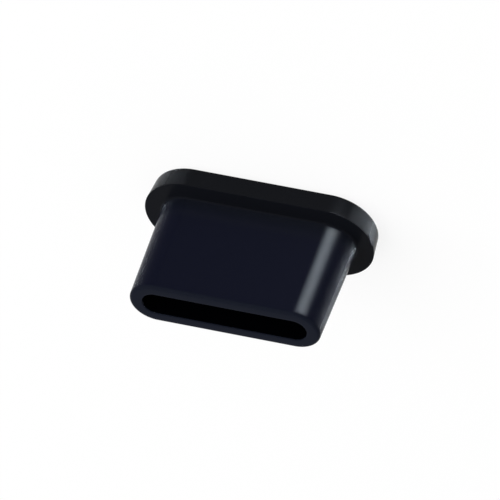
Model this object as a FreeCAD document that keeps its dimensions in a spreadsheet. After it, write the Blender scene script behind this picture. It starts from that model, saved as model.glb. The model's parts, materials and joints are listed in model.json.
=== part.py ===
import FreeCAD, Part
import math
import os
import Sketcher

# Dust plug for a small connector port: one soft moulding with a flange, a hollow body and a slot for the
# port's tongue.
# The plug stands on its flange: the outer face lies in z = 0, centred on the origin, the body rises
# along +Z to its mouth, and X runs along the wide side.
# Every outline is a slot shape. The slot has the port's own end centres; those of the body and the flange
# follow from the walls and overhangs, which differ a little between the sides and the ends.

# Driving sizes in millimetres and degrees: alias, value, meaning.
SIZES = [
    ("end_spacing", 5.78, "distance between the two end centres, as in the port's opening"),
    ("tongue_thickness", 0.70, "thickness of the port's tongue"),
    ("tongue_clearance", 0.23, "free space on each side of the tongue, at the mouth"),
    ("mouth_wall", 0.48, "wall along the slot's sides, at the mouth"),
    ("end_wall", 0.555, "wall beyond the slot's ends, at the mouth"),
    ("body_length", 4.75, "body from the flange to the mouth"),
    ("body_draft", 1.3, "taper of the body towards the mouth"),
    ("slot_floor", 0.50, "solid left between the slot's floor and the flange"),
    ("slot_draft", 0.5, "taper of the slot towards its floor"),
    ("flange_overhang", 0.81, "flange beyond the body's root, along its sides"),
    ("end_overhang", 0.735, "flange beyond the body's root, at its ends"),
    ("flange_thickness", 1.02, "flange from its outer face to its underside"),
    ("rim_draft", 6.0, "taper of the rim towards the outer face"),
    ("mouth_round", 0.15, "round on the outer edge of the mouth"),
    ("slot_edge_round", 0.05, "round on the slot's edge at the mouth"),
    ("slot_floor_round", 0.10, "round in the corner of the slot's floor"),
    ("root_fillet", 0.10, "fillet between the body and the flange"),
    ("face_round", 0.10, "round on the outer face's edge"),
]

# Sizes that follow from the driving ones, from the slot outwards.
SLOT_RADIUS = "(Sizes.tongue_thickness / 2 + Sizes.tongue_clearance)"
MOUTH_RADIUS = f"({SLOT_RADIUS} + Sizes.mouth_wall)"
ROOT_RADIUS = f"({MOUTH_RADIUS} + Sizes.body_length * tan(Sizes.body_draft))"
FLANGE_RADIUS = f"({ROOT_RADIUS} + Sizes.flange_overhang)"
BODY_SPACING = "(Sizes.end_spacing + 2 * (Sizes.end_wall - Sizes.mouth_wall))"
FLANGE_SPACING = f"({BODY_SPACING} + 2 * (Sizes.end_overhang - Sizes.flange_overhang))"
MOUTH_HEIGHT = "(Sizes.flange_thickness + Sizes.body_length)"
SLOT_DEPTH = "(Sizes.body_length - Sizes.slot_floor)"

# The most of a wall that the round beside it may take: the main round, and a small one across from it.
MAIN_SHARE = 0.65
SMALL_SHARE = 0.25

# Places closer than this count as one.
NEAR = 1e-4

UP = FreeCAD.Vector(0, 0, 1)
DOWN = FreeCAD.Vector(0, 0, -1)


def make_sheet(doc):
    """Write the driving sizes into the document's sheet, one aliased cell each."""
    sheet = doc.addObject("Spreadsheet::Sheet", "Sizes")
    for row, (alias, value, meaning) in enumerate(SIZES, start=1):
        sheet.set(f"A{row}", alias)
        sheet.set(f"B{row}", str(value))
        sheet.set(f"C{row}", meaning)
        sheet.setAlias(f"B{row}", alias)
    doc.recompute()
    return sheet


def slot_shape(body, name, spacing, radius, height="0"):
    """Sketch a slot shape about two end centres, at a height above the outer face."""
    plane = next(item for item in body.Origin.OriginFeatures if item.Role == "XY_Plane")
    sketch = body.newObject("Sketcher::SketchObject", name)
    sketch.AttachmentSupport = (plane, [""])
    sketch.MapMode = "FlatFace"
    sketch.setExpression("AttachmentOffset.Base.z", height)

    # Drawn first about unit sizes; the constraints then set the real ones.
    left = FreeCAD.Vector(-1, 0, 0)
    right = FreeCAD.Vector(1, 0, 0)
    side = FreeCAD.Vector(0, 1, 0)
    quarter = math.pi / 2
    back = sketch.addGeometry(Part.LineSegment(right + side, left + side))
    left_end = sketch.addGeometry(Part.ArcOfCircle(Part.Circle(left, UP, 1), quarter, 3 * quarter))
    front = sketch.addGeometry(Part.LineSegment(left - side, right - side))
    right_end = sketch.addGeometry(Part.ArcOfCircle(Part.Circle(right, UP, 1), -quarter, quarter))

    start, end, centre = 1, 2, 3
    x_axis, origin = -1, (-1, 1)
    outline = [back, left_end, front, right_end]
    for line, following in zip(outline, outline[1:] + outline[:1]):
        sketch.addConstraint(Sketcher.Constraint("Tangent", line, end, following, start))
    sketch.addConstraint(Sketcher.Constraint("Symmetric", left_end, centre, right_end, centre, *origin))
    sketch.addConstraint(Sketcher.Constraint("PointOnObject", right_end, centre, x_axis))
    sketch.addConstraint(Sketcher.Constraint("Equal", left_end, right_end))
    end_spacing = Sketcher.Constraint("DistanceX", left_end, centre, right_end, centre, 2)
    sketch.renameConstraint(sketch.addConstraint(end_spacing), "end_spacing")
    end_radius = Sketcher.Constraint("Radius", right_end, 1)
    sketch.renameConstraint(sketch.addConstraint(end_radius), "end_radius")
    sketch.setExpression("Constraints.end_spacing", spacing)
    sketch.setExpression("Constraints.end_radius", radius)
    return sketch


def extrude(body, kind, name, profile, length, downwards=False):
    """Pad or pocket a sketch; a pocket cuts downwards by itself."""
    feature = body.newObject(f"PartDesign::{kind}", name)
    feature.Profile = profile
    feature.Reversed = downwards
    feature.setExpression("Length", length)
    body.Document.recompute()
    return feature


def level_face(shape, height, facing):
    """The flat face at a height that looks one way, and its name."""
    for number, face in enumerate(shape.Faces, start=1):
        flat = isinstance(face.Surface, Part.Plane) and face.normalAt(0, 0).isEqual(facing, NEAR)
        if flat and abs(face.CenterOfMass.z - height) < NEAR:
            return face, f"Face{number}"
    raise RuntimeError(f"no flat face at height {height}")


def outline_of(face, inside):
    """A face's own outline, or that of the opening or stem inside it."""
    if inside:
        return next(wire for wire in face.Wires if not wire.isSame(face.OuterWire))
    return face.OuterWire


def taper(body, name, base, height, angle, inside=False, release=UP):
    """Taper the walls along an outline at a height, for a mould that comes off one way."""
    level, level_name = level_face(base.Shape, height, UP)
    edges = outline_of(level, inside).Edges
    walls = []
    for number, face in enumerate(base.Shape.Faces, start=1):
        meets = any(edge.isSame(other) for edge in face.Edges for other in edges)
        if meets and not face.isSame(level):
            walls.append(f"Face{number}")
    feature = body.newObject("PartDesign::Draft", name)
    feature.Base = (base, walls)
    feature.NeutralPlane = (base, [level_name])
    feature.Reversed = release == DOWN
    feature.setExpression("Angle", angle)
    body.Document.recompute()
    return feature


def round_outline(body, name, base, height, wall, share=MAIN_SHARE, inside=False, facing=UP):
    """Round an outline at a height by the size of the same name, up to a share of the wall beside it."""
    level, _ = level_face(base.Shape, height, facing)
    edges = outline_of(level, inside).Edges
    numbered = enumerate(base.Shape.Edges, start=1)
    names = [f"Edge{number}" for number, edge in numbered if any(edge.isSame(other) for other in edges)]
    feature = body.newObject("PartDesign::Fillet", name)
    feature.Base = (base, names)
    feature.setExpression("Radius", f"min(Sizes.{name}; {share} * {wall})")
    body.Document.recompute()
    return feature


def make_plug(doc, sheet):
    """Model the plug: flange, body and slot with their tapers, then the rounds."""
    body = doc.addObject("PartDesign::Body", "dust_plug")
    body.Label = "dust_plug"
    body.Placement = FreeCAD.Placement()
    underside = sheet.flange_thickness
    mouth = underside + sheet.body_length
    floor = underside + sheet.slot_floor

    # Flange: widest at its underside, where the mould parts.
    outline = slot_shape(body, "flange_outline", FLANGE_SPACING, FLANGE_RADIUS)
    flange = extrude(body, "Pad", "flange", outline, "Sizes.flange_thickness")
    flange = taper(body, "rim_taper", flange, underside, "Sizes.rim_draft", release=DOWN)

    # Body: drawn at the mouth, and wider towards the flange.
    outline = slot_shape(body, "mouth_outline", BODY_SPACING, MOUTH_RADIUS, MOUTH_HEIGHT)
    stem = extrude(body, "Pad", "stem", outline, "Sizes.body_length", downwards=True)
    stem = taper(body, "stem_taper", stem, mouth, "Sizes.body_draft")

    # Slot: blind, and narrower towards its floor.
    outline = slot_shape(body, "slot_outline", "Sizes.end_spacing", SLOT_RADIUS, MOUTH_HEIGHT)
    slot = extrude(body, "Pocket", "slot", outline, SLOT_DEPTH)
    if slot.Shape.Volume >= stem.Shape.Volume:
        raise RuntimeError("the slot points away from the body")
    slot = taper(body, "slot_taper", slot, mouth, "Sizes.slot_draft", inside=True)

    # Rounds: in the slot, round the mouth, at the root and on the outer face.
    plug = round_outline(body, "slot_floor_round", slot, floor, SLOT_RADIUS)
    plug = round_outline(body, "slot_edge_round", plug, mouth, "Sizes.mouth_wall", SMALL_SHARE, inside=True)
    plug = round_outline(body, "mouth_round", plug, mouth, "Sizes.mouth_wall")
    plug = round_outline(body, "root_fillet", plug, underside, "Sizes.end_overhang", inside=True)
    round_outline(body, "face_round", plug, 0, "Sizes.flange_thickness", facing=DOWN)
    return body


def check(doc, part):
    """Stop before anything is written if a feature failed or the part isn't one sound solid."""
    failed = [item.Name for item in doc.Objects if {"Invalid", "Error"} & set(item.State)]
    if failed:
        raise RuntimeError(f"failed features: {failed}")
    if part.Shape.isNull() or not part.Shape.isValid() or len(part.Shape.Solids) != 1:
        raise RuntimeError(f"{part.Label} is not one sound solid")


doc = FreeCAD.newDocument("dust_plug")
sheet = make_sheet(doc)
plug = make_plug(doc, sheet)
doc.recompute()
check(doc, plug)
os.makedirs("parts", exist_ok=True)
plug.Shape.exportStep(f"parts/{plug.Label}.step")
print(f"{plug.Label}: {plug.Shape.Volume:.3f} mm3, {plug.Shape.BoundBox}")
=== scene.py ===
import json
import math
import bpy
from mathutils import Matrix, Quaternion, Vector


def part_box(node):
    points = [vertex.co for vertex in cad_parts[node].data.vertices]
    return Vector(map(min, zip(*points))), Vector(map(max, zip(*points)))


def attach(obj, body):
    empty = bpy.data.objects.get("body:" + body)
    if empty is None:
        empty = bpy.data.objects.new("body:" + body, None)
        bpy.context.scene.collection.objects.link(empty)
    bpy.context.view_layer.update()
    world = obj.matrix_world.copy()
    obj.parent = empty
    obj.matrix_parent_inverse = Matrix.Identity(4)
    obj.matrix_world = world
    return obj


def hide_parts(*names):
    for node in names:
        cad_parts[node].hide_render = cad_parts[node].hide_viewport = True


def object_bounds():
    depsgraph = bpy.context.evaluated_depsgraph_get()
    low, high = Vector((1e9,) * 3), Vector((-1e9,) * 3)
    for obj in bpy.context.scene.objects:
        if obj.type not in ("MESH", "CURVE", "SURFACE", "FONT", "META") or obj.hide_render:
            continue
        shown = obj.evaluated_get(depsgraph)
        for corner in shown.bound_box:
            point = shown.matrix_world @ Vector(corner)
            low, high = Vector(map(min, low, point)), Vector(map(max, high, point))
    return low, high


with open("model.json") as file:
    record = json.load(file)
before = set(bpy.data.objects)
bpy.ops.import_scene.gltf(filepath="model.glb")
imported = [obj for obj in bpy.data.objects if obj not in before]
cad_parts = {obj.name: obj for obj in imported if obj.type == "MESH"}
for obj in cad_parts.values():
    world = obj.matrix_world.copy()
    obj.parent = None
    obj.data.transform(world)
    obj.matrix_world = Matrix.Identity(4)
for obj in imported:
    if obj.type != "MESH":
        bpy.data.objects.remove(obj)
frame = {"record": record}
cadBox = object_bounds()
scene = bpy.context.scene
mm = 0.001
print("frame loaded, box", [round(side / mm, 2) for side in cadBox[1] - cadBox[0]], "mm")


# small helpers for node trees
def addNode(tree, kind, place, **settings):
    node = tree.nodes.new(kind)
    node.location = place
    for name, value in settings.items():
        setattr(node, name, value)
    return node


def join(tree, source, target):
    tree.links.new(source, target)


def math2(tree, operation, first, second, place):
    node = addNode(tree, "ShaderNodeMath", place, operation=operation)
    for socket, value in zip(node.inputs, (first, second)):
        if isinstance(value, bpy.types.NodeSocket):
            join(tree, value, socket)
        else:
            socket.default_value = value
    return node.outputs[0]


# the plug's section, in millimetres and degrees; the outer sizes come from the frame
plugSection = {
    "endSpacing": 5.78,  # between the slot's end centres
    "overhang": 0.81,  # flange beyond the body's root, along the sides
    "endOverhang": 0.735,  # the same at the ends
    "rimDraft": 6.0,  # rim, towards the outer face
    "bodyDraft": 1.3,  # body, towards the mouth
    "slotDraft": 0.5,  # slot, towards its floor
    "mouthWall": 0.48,  # wall along the slot, at the mouth
    "endWall": 0.555,  # the same at the slot's ends
    "slotFloor": 0.50,  # solid between the slot's floor and the flange
    "faceRound": 0.10,
    "rimRound": 0.02,  # broken edge where the mould parts
    "rootFillet": 0.10,
    "mouthRound": 0.15,
    "slotEdgeRound": 0.05,
    "floorRound": 0.10,
    "roundSteps": 8,
    "rowSpacing": 0.14,  # longest step along the section
    "around": 440,  # steps round the outline
    "circlePoints": 1442,  # not a multiple of four, so that none falls on the parting line
    "mergeWithin": 0.001,  # closes the skin along its centre lines
}


def mountHeight(name):
    mount = next(item for item in frame["record"]["mounts"] if item["name"] == name)
    return mount["pos_m"][2]


def plugCorners(plan):
    low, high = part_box("dust_plug")
    size = high - low
    underside = mountHeight("seating_face")
    floorHeight = underside + plan["slotFloor"] * mm
    flange = size.y / 2
    face = flange - underside * math.tan(math.radians(plan["rimDraft"]))
    root = flange - plan["overhang"] * mm
    mouth = root - (high.z - underside) * math.tan(math.radians(plan["bodyDraft"]))
    slot = mouth - plan["mouthWall"] * mm
    floor = slot - (high.z - floorHeight) * math.tan(math.radians(plan["slotDraft"]))
    # the ends of the body and the flange reach a little beyond a plain round
    bodyOut = (plan["endWall"] - plan["mouthWall"]) * mm
    flangeOut = bodyOut + (plan["endOverhang"] - plan["overhang"]) * mm
    # name, radius about the end centres, height, round, reach beyond it at the ends
    return [
        ("Face Centre", 0.0, 0.0, 0.0, flangeOut),
        ("Face", face, 0.0, plan["faceRound"] * mm, flangeOut),
        ("Rim", flange, underside, plan["rimRound"] * mm, flangeOut),
        ("Root", root, underside, plan["rootFillet"] * mm, bodyOut),
        ("Mouth", mouth, high.z, plan["mouthRound"] * mm, bodyOut),
        ("Slot Edge", slot, high.z, plan["slotEdgeRound"] * mm, 0.0),
        ("Slot Floor", floor, floorHeight, plan["floorRound"] * mm, 0.0),
        ("Floor Centre", 0.0, floorHeight, 0.0, 0.0),
    ]


# the tree's named inputs: four for each corner of the section, and six for the whole
def plugInputs(tree, names):
    parts = ("Radius", "Height", "Round", "Out")
    kinds = {f"{name} {part}": "Float" for name in names for part in parts}
    kinds.update({
        "End Spacing": "Float",
        "Row Spacing": "Float",
        "Round Steps": "Int",
        "Around": "Int",
        "Finish": "Material",
        "Slot Finish": "Material",
    })
    for name, kind in kinds.items():
        tree.interface.new_socket(name, in_out="INPUT", socket_type=f"NodeSocket{kind}")
    tree.interface.new_socket("Plug", in_out="OUTPUT", socket_type="NodeSocketGeometry")
    return addNode(tree, "NodeGroupInput", (-1800, 0)).outputs


# the path along the body's root: a circle parted at its middle into two ends and two straights
def outlinePath(tree, given, plan):
    rootRadius = given["Root Radius"]
    circle = addNode(tree, "GeometryNodeCurvePrimitiveCircle", (-1000, 700))
    circle.inputs["Resolution"].default_value = plan["circlePoints"]
    join(tree, rootRadius, circle.inputs["Radius"])
    position = addNode(tree, "GeometryNodeInputPosition", (-1400, 500))
    split = addNode(tree, "ShaderNodeSeparateXYZ", (-1200, 500))
    join(tree, position.outputs[0], split.inputs[0])
    along = split.outputs["X"]
    side = math2(tree, "SIGN", along, 0.0, (-1000, 500))
    half = math2(tree, "MULTIPLY", given["End Spacing"], 0.5, (-1000, 350))
    shift = addNode(tree, "ShaderNodeCombineXYZ", (-600, 500))
    join(tree, math2(tree, "MULTIPLY", side, half, (-800, 500)), shift.inputs["X"])
    parted = addNode(tree, "GeometryNodeSetPosition", (-400, 700))
    join(tree, circle.outputs["Curve"], parted.inputs["Geometry"])
    join(tree, shift.outputs[0], parted.inputs["Offset"])
    path = addNode(tree, "GeometryNodeResampleCurve", (-200, 700))
    join(tree, parted.outputs[0], path.inputs["Curve"])
    join(tree, given["Around"], path.inputs["Count"])

    # how far each point is round an end: 0 along the straights, 1 at the tip
    distance = math2(tree, "ABSOLUTE", along, 0.0, (-800, 900))
    beyond = math2(tree, "SUBTRACT", distance, half, (-600, 900))
    onEnd = math2(tree, "MAXIMUM", beyond, 0.0, (-400, 900))
    turn = math2(tree, "DIVIDE", onEnd, rootRadius, (-200, 900))
    turned = addNode(tree, "GeometryNodeCaptureAttribute", (0, 700), domain="POINT")
    turned.capture_items.new("FLOAT", "Turn")
    join(tree, path.outputs[0], turned.inputs["Geometry"])
    join(tree, turn, turned.inputs[1])
    return turned.outputs[0], turned.outputs[1], side


# the section: one line through the corners, out over the flange and down into the slot
def sectionLine(tree, given, names):
    rootRadius = given["Root Radius"]
    line = addNode(tree, "GeometryNodeMeshLine", (-1000, 0))
    line.inputs["Count"].default_value = len(names)
    section = addNode(tree, "GeometryNodeMeshToCurve", (-800, 0))
    join(tree, line.outputs[0], section.inputs["Mesh"])
    index = addNode(tree, "GeometryNodeInputIndex", (-1000, -200)).outputs[0]
    places = addNode(tree, "GeometryNodeIndexSwitch", (-600, -200), data_type="VECTOR")
    rounds = addNode(tree, "GeometryNodeIndexSwitch", (-600, -600), data_type="FLOAT")
    outs = addNode(tree, "GeometryNodeIndexSwitch", (-600, -1000), data_type="FLOAT")
    for switch in (places, rounds, outs):
        while len(switch.index_switch_items) < len(names):
            switch.index_switch_items.new()
        join(tree, index, switch.inputs["Index"])
    for step, name in enumerate(names):
        # measured from the path, with heights downwards
        across = math2(tree, "SUBTRACT", given[f"{name} Radius"], rootRadius, (-1400, -200 * step))
        down = math2(tree, "MULTIPLY", given[f"{name} Height"], -1.0, (-1200, -200 * step))
        place = addNode(tree, "ShaderNodeCombineXYZ", (-1000, -300 - 200 * step))
        join(tree, across, place.inputs["X"])
        join(tree, down, place.inputs["Y"])
        join(tree, place.outputs[0], places.inputs[1 + step])
        join(tree, given[f"{name} Round"], rounds.inputs[1 + step])
        join(tree, given[f"{name} Out"], outs.inputs[1 + step])
    cornered = addNode(tree, "GeometryNodeSetPosition", (-400, 0))
    join(tree, section.outputs[0], cornered.inputs["Geometry"])
    join(tree, places.outputs[0], cornered.inputs["Position"])
    counted = addNode(tree, "GeometryNodeCaptureAttribute", (-300, 150), domain="POINT")
    counted.capture_items.new("FLOAT", "Corner")  # place along the section, for the slot's finish
    counted.capture_items.new("FLOAT", "Out")
    join(tree, cornered.outputs[0], counted.inputs["Geometry"])
    join(tree, index, counted.inputs[1])
    join(tree, outs.outputs[0], counted.inputs[2])
    rounded = addNode(tree, "GeometryNodeFilletCurve", (-200, 0), mode="POLY")
    join(tree, counted.outputs["Geometry"], rounded.inputs["Curve"])
    join(tree, rounds.outputs[0], rounded.inputs["Radius"])
    join(tree, given["Round Steps"], rounded.inputs["Count"])

    # long runs of the section get more rows
    following = addNode(tree, "GeometryNodeFieldAtIndex", (-400, -400), data_type="FLOAT_VECTOR")
    join(tree, math2(tree, "ADD", index, 1.0, (-600, -400)), following.inputs["Index"])
    here = addNode(tree, "GeometryNodeInputPosition", (-600, -500))
    join(tree, here.outputs[0], following.inputs["Value"])
    gap = addNode(tree, "ShaderNodeVectorMath", (-200, -400), operation="DISTANCE")
    join(tree, here.outputs[0], gap.inputs[0])
    join(tree, following.outputs[0], gap.inputs[1])
    rows = math2(tree, "DIVIDE", gap.outputs["Value"], given["Row Spacing"], (0, -400))
    finer = addNode(tree, "GeometryNodeSubdivideCurve", (0, 0))
    join(tree, rounded.outputs[0], finer.inputs["Curve"])
    join(tree, math2(tree, "FLOOR", rows, 0.0, (0, -200)), finer.inputs["Cuts"])
    return finer.outputs[0], counted.outputs[1], counted.outputs[2]


def plugTree(plan, names):
    tree = bpy.data.node_groups.new("slotShapedMoulding", "GeometryNodeTree")
    given = plugInputs(tree, names)
    path, turn, side = outlinePath(tree, given, plan)
    section, corner, out = sectionLine(tree, given, names)

    # swept, drawn out at the ends, closed along the centre lines, smoothed
    skin = addNode(tree, "GeometryNodeCurveToMesh", (200, 400))
    join(tree, path, skin.inputs["Curve"])
    join(tree, section, skin.inputs["Profile Curve"])
    reach = math2(tree, "MULTIPLY", out, turn, (-200, 100))
    outward = addNode(tree, "ShaderNodeCombineXYZ", (200, 100))
    join(tree, math2(tree, "MULTIPLY", side, reach, (0, 100)), outward.inputs["X"])
    ended = addNode(tree, "GeometryNodeSetPosition", (300, 400))
    join(tree, skin.outputs[0], ended.inputs["Geometry"])
    join(tree, outward.outputs[0], ended.inputs["Offset"])
    closed = addNode(tree, "GeometryNodeMergeByDistance", (400, 400))
    closed.inputs["Distance"].default_value = plan["mergeWithin"] * mm
    join(tree, ended.outputs[0], closed.inputs["Geometry"])
    smooth = addNode(tree, "GeometryNodeSetShadeSmooth", (600, 400))
    join(tree, closed.outputs[0], smooth.inputs["Geometry"])
    whole = addNode(tree, "GeometryNodeRealizeInstances", (800, 400))
    join(tree, smooth.outputs[0], whole.inputs["Geometry"])

    # one finish all over, then the slot's own on what lies past its edge: dull, with its near-black
    # colour painted shade
    dressed = addNode(tree, "GeometryNodeSetMaterial", (1000, 400))
    join(tree, whole.outputs[0], dressed.inputs["Geometry"])
    join(tree, given["Finish"], dressed.inputs["Material"])
    pastEdge = names.index("Slot Edge") + 0.01
    inside = math2(tree, "GREATER_THAN", corner, pastEdge, (1000, 200))
    lined = addNode(tree, "GeometryNodeSetMaterial", (1200, 400))
    join(tree, dressed.outputs[0], lined.inputs["Geometry"])
    join(tree, inside, lined.inputs["Selection"])
    join(tree, given["Slot Finish"], lined.inputs["Material"])
    result = addNode(tree, "NodeGroupOutput", (1400, 400))
    join(tree, lined.outputs[0], result.inputs[0])
    return tree


def makePlug(plan, finish, slotFinishWithPaintedShade):
    corners = plugCorners(plan)
    tree = plugTree(plan, [corner[0] for corner in corners])
    values = {
        "End Spacing": plan["endSpacing"] * mm,
        "Row Spacing": plan["rowSpacing"] * mm,
        "Round Steps": plan["roundSteps"],
        "Around": plan["around"],
        "Finish": finish,
        "Slot Finish": slotFinishWithPaintedShade,
    }
    for name, radius, height, rounding, out in corners:
        values[f"{name} Radius"] = radius
        values[f"{name} Height"] = height
        values[f"{name} Round"] = rounding
        values[f"{name} Out"] = out
    start = bpy.data.objects.new("silicone_plug_tree", bpy.data.meshes.new("plugStart"))
    scene.collection.objects.link(start)
    modifier = start.modifiers.new("moulding", "NODES")
    modifier.node_group = tree
    for item in tree.interface.items_tree:
        if item.in_out == "INPUT":
            modifier[item.identifier] = values[item.name]
    graph = bpy.context.evaluated_depsgraph_get()
    mesh = bpy.data.meshes.new_from_object(start.evaluated_get(graph), depsgraph=graph)
    mesh.name = "silicone_plug"
    bpy.data.objects.remove(start)
    plug = bpy.data.objects.new("silicone_plug", mesh)
    scene.collection.objects.link(plug)
    return plug


# dark navy moulded silicone with a fine mould grain, greyer on the flange; lighter at the root and the
# mouth, which is painted light; the slot is dull and painted darker, which is painted shade
siliconeFinishWithPaintedLight = {
    "colours": [  # height in mm, colour
        (1.02, (0.0049, 0.0055, 0.0076)),  # flange
        (1.10, (0.0076, 0.0091, 0.0150)),  # root, lighter, fading into the body by 2 mm: painted light against the shade under the flange
        (1.40, (0.0064, 0.0077, 0.0146)),
        (2.00, (0.0030, 0.0039, 0.0126)),  # body
        (5.61, (0.0030, 0.0039, 0.0126)),
        (5.69, (0.0070, 0.0088, 0.0158)),  # mouth, lighter: painted light on the lip
    ],
    "roughness": 0.20,
    "mottle": 0.012,  # how far the roughness strays
    "specular": 0.024,  # low, or the white surround would lie over the dark colour
    "grainSize": 0.10,  # mm
    "grainDepth": 0.0003,  # mm
}
# the slot's near-black colour is painted shade of the recess, deepest towards its floor
slotFinishWithPaintedShade = {
    "colours": [(1.5, (0.0004, 0.0006, 0.0012)), (5.7, (0.0006, 0.0008, 0.0016))],
    "roughness": 0.90,
    "mottle": 0.05,
    "specular": 0.0,
    "grainSize": 0.05,
    "grainDepth": 0.001,
}
noise = {"mottlePatch": 0.4, "mottleDetail": 3.0, "grainDetail": 2.0}  # for both; the patch in mm


# a ramp over the plug's height, with stops in millimetres
def heightRamp(tree, height, stops, place):
    top = stops[-1][0]
    share = math2(tree, "DIVIDE", height, top, (place[0] - 200, place[1]))
    ramp = addNode(tree, "ShaderNodeValToRGB", place)
    stretch = ramp.color_ramp.elements
    while len(stretch) < len(stops):
        stretch.new(1.0)
    for stop, (at, colour) in zip(stretch, stops):
        stop.position = at / top
        stop.color = (*colour, 1)
    join(tree, share, ramp.inputs["Fac"])
    return ramp.outputs["Color"]


def siliconeMaterial(name, look):
    material = bpy.data.materials.new(name)
    material.use_nodes = True
    tree = material.node_tree
    tree.nodes.clear()
    surface = addNode(tree, "ShaderNodeBsdfPrincipled", (600, 0))
    surface.inputs["Specular IOR Level"].default_value = look["specular"]
    result = addNode(tree, "ShaderNodeOutputMaterial", (900, 0))
    join(tree, surface.outputs[0], result.inputs["Surface"])

    coordinates = addNode(tree, "ShaderNodeTexCoord", (-1000, 0))
    inMm = addNode(tree, "ShaderNodeMapping", (-800, 0))
    inMm.inputs["Scale"].default_value = (1 / mm, 1 / mm, 1 / mm)
    join(tree, coordinates.outputs["Object"], inMm.inputs["Vector"])
    split = addNode(tree, "ShaderNodeSeparateXYZ", (-600, 300))
    join(tree, inMm.outputs[0], split.inputs[0])
    height = split.outputs["Z"]
    join(tree, heightRamp(tree, height, look["colours"], (-100, 300)), surface.inputs["Base Color"])

    # roughness, a little mottled
    mottle = addNode(tree, "ShaderNodeTexNoise", (-300, -200))
    mottle.inputs["Scale"].default_value = 1 / noise["mottlePatch"]
    mottle.inputs["Detail"].default_value = noise["mottleDetail"]
    join(tree, inMm.outputs[0], mottle.inputs["Vector"])
    uneven = addNode(tree, "ShaderNodeMapRange", (-100, -200))
    uneven.inputs["To Min"].default_value = look["roughness"] - look["mottle"]
    uneven.inputs["To Max"].default_value = look["roughness"] + look["mottle"]
    join(tree, mottle.outputs["Fac"], uneven.inputs["Value"])
    join(tree, uneven.outputs[0], surface.inputs["Roughness"])

    # mould grain
    grain = addNode(tree, "ShaderNodeTexNoise", (-300, -500))
    grain.inputs["Scale"].default_value = 1 / look["grainSize"]
    grain.inputs["Detail"].default_value = noise["grainDetail"]
    join(tree, inMm.outputs[0], grain.inputs["Vector"])
    bump = addNode(tree, "ShaderNodeBump", (300, -500))
    bump.inputs["Distance"].default_value = look["grainDepth"] * mm
    join(tree, grain.outputs["Fac"], bump.inputs["Height"])
    join(tree, bump.outputs[0], surface.inputs["Normal"])
    return material


satinSilicone = siliconeMaterial("satinSilicone", siliconeFinishWithPaintedLight)
dullSiliconeWithPaintedShade = siliconeMaterial("dullSiliconeWithPaintedShade", slotFinishWithPaintedShade)
plug = makePlug(plugSection, satinSilicone, dullSiliconeWithPaintedShade)
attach(plug, "root")
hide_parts("dust_plug")
print("plug made,", len(plug.data.polygons), "faces")


# a white table; the glow is what the camera and reflections see of it, the rest takes the shadow
tableLook = {
    "size": 0.6,  # metres
    "colour": (0.90, 0.90, 0.90),
    "glowShare": 0.85,
}


# 1 for what is looked at, straight or in a reflection, and 0 for light that falls on things
def seenDirectly(tree, place):
    across, up = place
    path = addNode(tree, "ShaderNodeLightPath", place)
    straight = path.outputs["Is Camera Ray"]
    reflected = path.outputs["Is Glossy Ray"]
    through = path.outputs["Is Transmission Ray"]
    seen = math2(tree, "ADD", straight, reflected, (across + 200, up))
    return math2(tree, "ADD", seen, through, (across + 400, up))


def makeTable(plan):
    half = plan["size"] / 2
    mesh = bpy.data.meshes.new("table")
    corners = [(-half, -half, 0), (half, -half, 0), (half, half, 0), (-half, half, 0)]
    mesh.from_pydata(corners, [], [(0, 1, 2, 3)])
    table = bpy.data.objects.new("table", mesh)
    scene.collection.objects.link(table)
    material = bpy.data.materials.new("whiteTable")
    material.use_nodes = True
    tree = material.node_tree
    tree.nodes.clear()
    matt = addNode(tree, "ShaderNodeBsdfDiffuse", (0, 0))
    matt.inputs["Color"].default_value = (*plan["colour"], 1)
    glow = addNode(tree, "ShaderNodeEmission", (0, -200))
    blend = addNode(tree, "ShaderNodeMixShader", (300, 0))
    share = math2(tree, "MULTIPLY", seenDirectly(tree, (-600, 200)), plan["glowShare"], (0, 200))
    join(tree, share, blend.inputs[0])
    join(tree, matt.outputs[0], blend.inputs[1])
    join(tree, glow.outputs[0], blend.inputs[2])
    result = addNode(tree, "ShaderNodeOutputMaterial", (500, 0))
    join(tree, blend.outputs[0], result.inputs["Surface"])
    mesh.materials.append(material)
    return table


makeTable(tableLook)
print("table made")


# studio light: an even surround, a soft lamp overhead, and soft panels that only show as reflections
surroundLevel = 0.5
overhead = {"azimuth": 60, "elevation": 60, "distance": 0.5, "width": 0.5, "power": 2.3}  # metres, watts

# the panels stand lower than the table, because the picture is turned over
# azimuth of the middle, half the width, lower and upper edge, in degrees as seen from the plug
# level where it is brightest, with white as 1, and the shares of the height that fade
panels = {
    "frontPanel": {
        "azimuth": -16.2, "spread": 30.2, "from": -43, "to": -25.5,
        "level": 94, "lowFade": 0.3, "highFade": 0.42,
    },
    "rightPanel": {
        "azimuth": -116, "spread": 46, "from": -47, "to": -12,
        "level": 4.0, "lowFade": 0.32, "highFade": 0.5,
    },
    "rightLowPanel": {
        "azimuth": -92, "spread": 66, "from": -60, "to": -42,
        "level": 10.8, "lowFade": 0.3, "highFade": 0.2,
    },
    "leftPanel": {
        "azimuth": 98, "spread": 38, "from": -42, "to": -22,
        "level": 1.1, "lowFade": 0.35, "highFade": 0.3,
    },
    "leftLowPanel": {
        "azimuth": 75, "spread": 56, "from": -60, "to": -42,
        "level": 2.9, "lowFade": 0.3, "highFade": 0.25,
    },
}
panelDistance = 400  # mm
panelPower = 20.0  # the same for all, so that each gets its share of the samples
coolWhite = (0.80, 0.89, 1.0)


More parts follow.
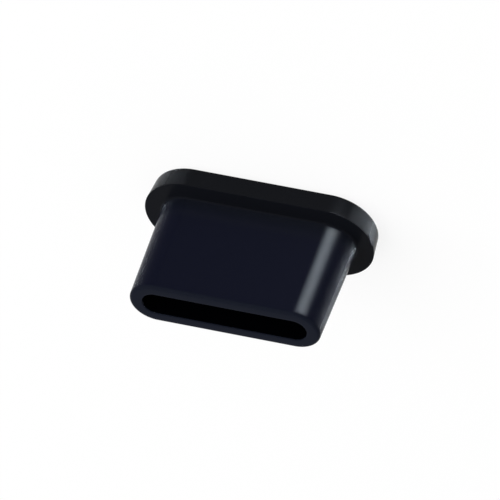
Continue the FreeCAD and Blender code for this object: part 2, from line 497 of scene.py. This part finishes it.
# white to the camera and in reflections, dimmer as light
def makeSurround(level):
    world = bpy.data.worlds.new("studio")
    world.use_nodes = True
    tree = world.node_tree
    sky = tree.nodes["Background"]
    sky.inputs["Color"].default_value = (1, 1, 1, 1)
    extra = math2(tree, "MULTIPLY", seenDirectly(tree, (-900, 0)), 1 - level, (-300, 0))
    join(tree, math2(tree, "ADD", extra, level, (-100, 0)), sky.inputs["Strength"])
    scene.world = world


# azimuth 0 is towards -Y, and grows towards +X
def direction(azimuth, elevation):
    turn, rise = math.radians(azimuth), math.radians(elevation)
    return Vector((math.sin(turn) * math.cos(rise), -math.cos(turn) * math.cos(rise), math.sin(rise)))


def makeOverhead(plan):
    data = bpy.data.lights.new("overheadLamp", "AREA")
    data.size = plan["width"]
    data.energy = plan["power"]
    lamp = bpy.data.objects.new("overheadLamp", data)
    away = direction(plan["azimuth"], plan["elevation"])
    lamp.location = plugMiddle + away * plan["distance"]
    lamp.rotation_euler = away.to_track_quat("Z", "Y").to_euler()
    lamp.visible_camera = False
    lamp.visible_glossy = False
    scene.collection.objects.link(lamp)


# brightest along its upright middle, and fading to the sides and to the lower and upper edge
def softenPanel(tree, plan, strength):
    spot = addNode(tree, "ShaderNodeTexCoord", (-900, 0))
    split = addNode(tree, "ShaderNodeSeparateXYZ", (-700, 0))
    join(tree, spot.outputs["UV"], split.inputs[0])
    fromMiddle = math2(tree, "SUBTRACT", split.outputs["X"], 0.5, (-500, 200))
    aside = math2(tree, "ABSOLUTE", fromMiddle, 0.0, (-300, 200))
    fades = [  # a value, where it is dark, where it is bright
        (aside, 0.5, 0.0),
        (split.outputs["Y"], 0.0, plan["lowFade"]),
        (split.outputs["Y"], 1.0, 1.0 - plan["highFade"]),
    ]
    level = strength
    for step, (value, dark, bright) in enumerate(fades):
        row = 300 - 300 * step
        fade = addNode(tree, "ShaderNodeMapRange", (-100, row), interpolation_type="SMOOTHSTEP")
        fade.inputs["From Min"].default_value = dark
        fade.inputs["From Max"].default_value = bright
        join(tree, value, fade.inputs["Value"])
        level = math2(tree, "MULTIPLY", fade.outputs[0], level, (100, row))
    join(tree, level, tree.nodes["Emission"].inputs["Strength"])


# an upright sheet that faces the plug and spans a range of elevations
def makePanel(name, plan):
    distance = panelDistance * mm
    low, high = (math.tan(math.radians(plan[end])) * distance for end in ("from", "to"))
    data = bpy.data.lights.new(name, "AREA")
    data.shape = "RECTANGLE"
    data.size = 2 * math.tan(math.radians(plan["spread"])) * distance
    data.size_y = high - low
    data.energy = panelPower
    data.color = coolWhite
    data.use_shadow = False  # so that the table doesn't hide it
    data.cycles.use_multiple_importance_sampling = False
    data.use_nodes = True
    softenPanel(data.node_tree, plan, plan["level"] * math.pi * data.size * data.size_y / panelPower)
    panel = bpy.data.objects.new(name, data)
    away = direction(plan["azimuth"], 0)
    panel.location = plugMiddle + away * distance + Vector((0, 0, (low + high) / 2))
    panel.rotation_euler = away.to_track_quat("Z", "Y").to_euler()
    panel.visible_camera = False
    panel.visible_diffuse = False
    scene.collection.objects.link(panel)


plugMiddle = (cadBox[0] + cadBox[1]) / 2
makeSurround(surroundLevel)
makeOverhead(overhead)
for name, plan in panels.items():
    makePanel(name, plan)
print("lamps made")


# the camera looks down on the mouth, turned over so that the flange is at the top of the picture
photoView = {
    "azimuth": -17.975,
    "elevation": 36.949,
    "roll": 201.746,
    "lookAt": (-0.0922, -0.4104, 2.4431),  # mm
    "distance": 333.3,  # mm
    "pictureWidth": 20.175,  # mm across the picture at the plug
}


def makeCamera(view):
    data = bpy.data.cameras.new("photoCamera")
    data.lens = data.sensor_width * view["distance"] / view["pictureWidth"]
    camera = bpy.data.objects.new("photoCamera", data)
    back = direction(view["azimuth"], view["elevation"])
    camera.location = (Vector(view["lookAt"]) + back * view["distance"]) * mm
    camera.rotation_mode = "QUATERNION"
    level = (-back).to_track_quat("-Z", "Y")
    camera.rotation_quaternion = level @ Quaternion((0, 0, 1), math.radians(view["roll"]))
    scene.collection.objects.link(camera)
    scene.camera = camera


makeCamera(photoView)
scene.view_settings.view_transform = "Standard"
print("camera set")
